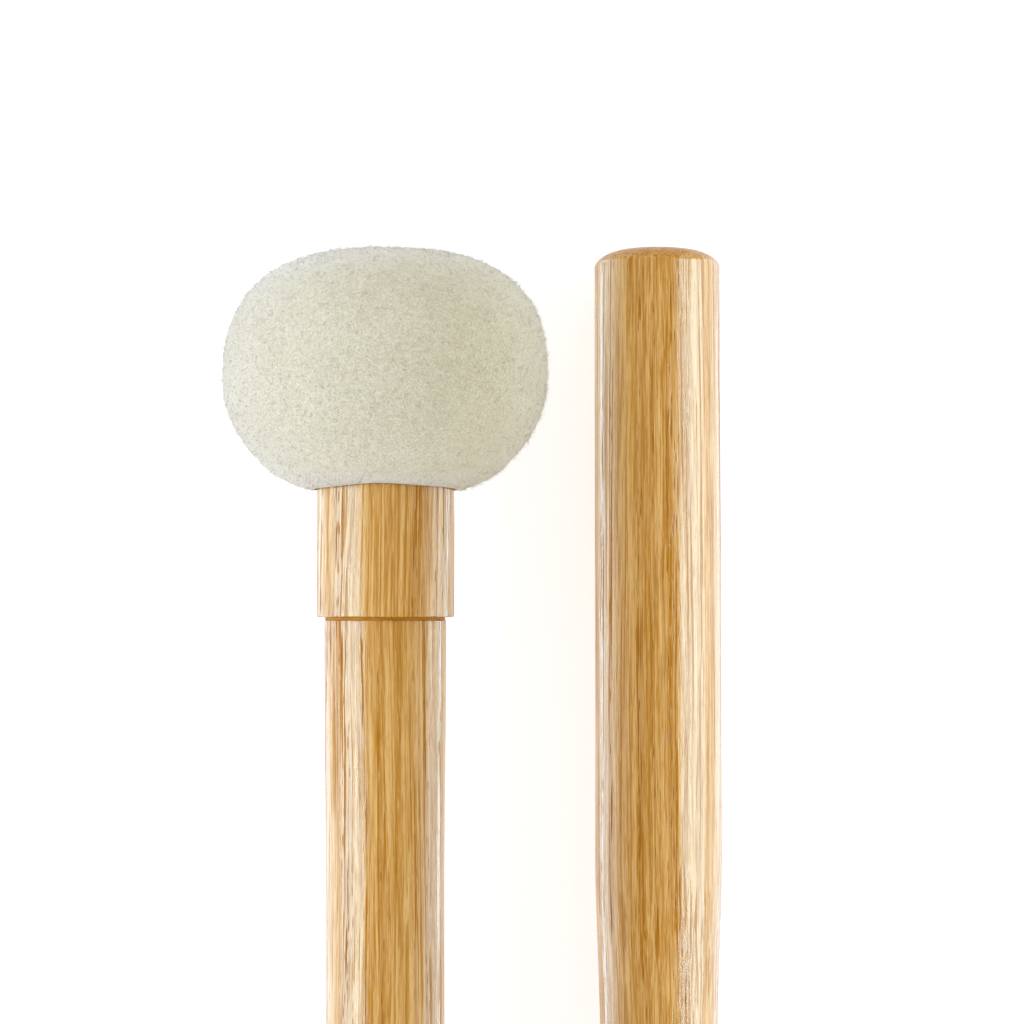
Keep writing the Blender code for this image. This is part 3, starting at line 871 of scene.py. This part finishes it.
# ---- Neck bindings --------------------------------------------------------------------------
# Four close turns of two-ply waxed thread that bind the cover's neck to the spigot. The collar's
# counterbore hides them.
THREAD_RADIUS = 0.325 * MM
THREAD_TURNS = 4
BINDING_RADIUS = 6.55 * MM + THREAD_RADIUS
BINDING_PLACE = HEAD_MIDDLE - 16.626 * MM


def waxed_thread(name):
    """Two-ply waxed thread: fibres along the ply, and painted shade in the groove between plies."""
    material, tree, shader = new_material(name)
    place = node(tree, "Attribute", attribute_name="thread_place").outputs["Vector"]
    fibre = cloudy(tree, stretched(tree, place, 0.16, 1.2), 3.0, 0.6)
    groove = node(tree, "Attribute", attribute_name="ply_groove_shade").outputs["Fac"]
    colour = tinted(tree, fibre, (0.74, 0.66, 0.45, 1), (0.55, 0.45, 0.26, 1))
    # Painted shade: the groove between the plies is darkened.
    colour = tinted(tree, sums(tree, "MULTIPLY", groove, 0.6), colour, (0.33, 0.25, 0.12, 1))
    tree.links.new(colour, shader.inputs["Base Color"])
    rough = sums(tree, "MULTIPLY_ADD", fibre, 0.25, 0.38)
    tree.links.new(rough, shader.inputs["Roughness"])
    bump = node(tree, "Bump", {"Height": fibre, "Strength": 0.5, "Distance": 0.02 * MM})
    tree.links.new(bump.outputs[0], shader.inputs["Normal"])
    return material


def winding(name, number):
    """A thread wound round the neck: a round section carried along a helix, closed at its ends.

    The helix climbs one thread's width a turn. The section's radius swells twice round it and
    that swelling turns along the thread, which makes the two plies. Both ends taper to a point.
    """
    steps, sides = 64 * THREAD_TURNS, 14
    run = np.linspace(0, math.tau * THREAD_TURNS, steps + 1)[:, None]
    section = np.arange(sides)[None] * math.tau / sides
    ply = np.cos(2 * section + run * BINDING_RADIUS / (0.42 * MM))
    taper = np.clip(np.minimum(run, run[-1] - run) / 0.12, 0, 1) ** 0.5
    thick = THREAD_RADIUS * (0.90 + 0.09 * ply) * taper
    radius = BINDING_RADIUS + thick * np.cos(section)
    climb = run / math.tau * 2 * THREAD_RADIUS
    height = BINDING_PLACE + THREAD_RADIUS + climb + thick * np.sin(section)
    butt, right, up, along = stick_axes(number)
    local = np.stack([radius * np.cos(run), radius * np.sin(run), height], axis=-1)
    points = butt + local @ np.stack([right, up, along])
    index = np.arange((steps + 1) * sides).reshape(steps + 1, sides)
    index[0], index[-1] = index[0, 0], index[-1, 0]
    corners, sizes, used = skin_faces(index)
    along_thread = np.stack([thick * np.cos(section), thick * np.sin(section)], axis=-1) / MM
    length = np.broadcast_to(run * BINDING_RADIUS / MM, thick.shape)[..., None]
    place = np.concatenate([along_thread, length], axis=-1)
    # How much painted groove shade: most where the two plies meet.
    groove = np.broadcast_to(0.5 - 0.5 * ply, thick.shape)
    looks = {"thread_place": place.reshape(-1, 3)[used], "ply_groove_shade": groove.ravel()[used]}
    return new_piece(name, points.reshape(-1, 3)[used], corners, sizes, looks)


thread = waxed_thread("waxed_thread")
for number in (1, 2):
    binding = winding(f"mallet_{number}_binding_wound", number)
    dress(binding, thread, "waxed_thread", number, f"mallet_{number}_neck_binding")


# ---- Floor and light ------------------------------------------------------------------------
# A matt white sheet that also glows, under an even white sky. Each mallet has a key panel on its
# outer side, which lights the sheet too, and a weak fill for itself alone. Cool cards round it
# show only as reflections. Every panel is tied to its own mallet.
SKY_STRENGTH = 0.87
SHEET_GLOW = 0.71
SHEET_REACH = 3.0
SHEET_POINTS = 13
SHEET_DROP = 0.15 * MM
STICK_MIDDLE = (0.017, 0.12, 0.016)
PANEL_DISTANCE = 0.50
PANEL_WIDTH = 0.18
PANEL_LENGTH = 0.30
KEY_COLOUR = (0.92, 1.0, 1.50)
CARD_DISTANCE = 0.36
CARD_LENGTH = 0.60
CARD_COLOUR = (0.50, 0.89, 1.14)


def pale_sheet(name):
    """Matt pale paper, faintly uneven, that glows as if lit strongly from behind as well."""
    material, tree, shader = new_material(name)
    spot = node(tree, "TexCoord").outputs["Object"]
    tone = cloudy(tree, node(tree, "Mapping", {"Vector": spot, "Scale": (9, 9, 9)}).outputs[0])
    white = tinted(tree, tone, (0.46, 0.46, 0.46, 1), (0.44, 0.44, 0.44, 1))
    tree.links.new(white, shader.inputs["Base Color"])
    shader.inputs["Roughness"].default_value = 0.9
    shader.inputs["Specular IOR Level"].default_value = 0.1
    shader.inputs["Emission Color"].default_value = (1, 1, 1, 1)
    shader.inputs["Emission Strength"].default_value = SHEET_GLOW
    return material


reach = np.linspace(-SHEET_REACH, SHEET_REACH, SHEET_POINTS)
floor_x, floor_y = np.meshgrid(reach, reach)
spots = np.stack([floor_x, floor_y, np.full_like(floor_x, -SHEET_DROP)], axis=-1).reshape(-1, 3)
index = np.arange(len(spots)).reshape(SHEET_POINTS, SHEET_POINTS)
tiles = np.stack([index[:-1, :-1], index[:-1, 1:], index[1:, 1:], index[1:, :-1]], axis=-1)
floor_mesh = bpy.data.meshes.new("floor_sheet")
floor_mesh.from_pydata(spots.tolist(), [], tiles.reshape(-1, 4).tolist())
floor = bpy.data.objects.new("floor_sheet", floor_mesh)
floor.data.materials.append(pale_sheet("pale_sheet"))
bpy.context.scene.collection.objects.link(floor)

world = bpy.data.worlds.new("white_room")
world.use_nodes = True
world.node_tree.nodes["Background"].inputs["Color"].default_value = (1, 1, 1, 1)
world.node_tree.nodes["Background"].inputs["Strength"].default_value = SKY_STRENGTH
bpy.context.scene.world = world
bpy.context.scene.view_settings.view_transform = "Standard"
bpy.context.scene.view_settings.look = "None"


def soft_panel(name, target, side, from_zenith, distance, width, length, radiance, lit):
    """A soft panel that faces its target from one side, at this angle from straight up.

    The power is pi times the panel's area times its radiance. Only what is in the lit collection
    takes its light or throws a shadow in it.
    """
    lamp = bpy.data.lights.new(name, "AREA")
    lamp.shape = "RECTANGLE"
    lamp.size, lamp.size_y = width, length
    lamp.energy = radiance * math.pi * width * length
    panel = bpy.data.objects.new(name, lamp)
    lean = math.radians(from_zenith)
    panel.location = Vector(target) + Vector((side * math.sin(lean), 0, math.cos(lean))) * distance
    panel.rotation_euler = (0, side * lean, 0)
    panel.visible_camera = False
    bpy.context.scene.collection.objects.link(panel)
    panel.light_linking.receiver_collection = lit
    panel.light_linking.blocker_collection = lit
    return panel


made = [o for o in bpy.data.objects if o.type == "MESH"]
for number, side in ((1, -1), (2, 1)):
    lit = bpy.data.collections.new(f"mallet_{number}_and_floor")
    own = bpy.data.collections.new(f"mallet_{number}_alone")
    for piece in made:
        if piece.name.startswith(f"mallet_{number}_"):
            lit.objects.link(piece)
            own.objects.link(piece)
    lit.objects.link(floor)
    stick = (STICK_MIDDLE[0] * side, *STICK_MIDDLE[1:])
    size = (PANEL_DISTANCE, PANEL_WIDTH, PANEL_LENGTH)
    key = soft_panel(f"key_{number}", stick, side, 52, *size, 6.1, lit)
    key.data.color = KEY_COLOUR
    key.visible_glossy = False
    fill = soft_panel(f"fill_{number}", stick, -side, 100, *size, 2.3, own)
    fill.visible_glossy = False
    cards = (
        ("outer", side, 66, 0.36, 7.8),
        ("outer_low", side, 122, 0.36, 1.8),
        ("inner", -side, 88, 0.36, 1.2),
        ("inner_low", -side, 110, 0.36, 2.3),
        ("inner_line", -side, 127, 0.025, 7.0),
    )
    for place, way, from_zenith, width, bright in cards:
        name = f"{place}_card_{number}"
        size = (CARD_DISTANCE, width, CARD_LENGTH)
        card = soft_panel(name, stick, way, from_zenith, *size, bright, own)
        card.data.color = CARD_COLOUR
        card.visible_diffuse = False
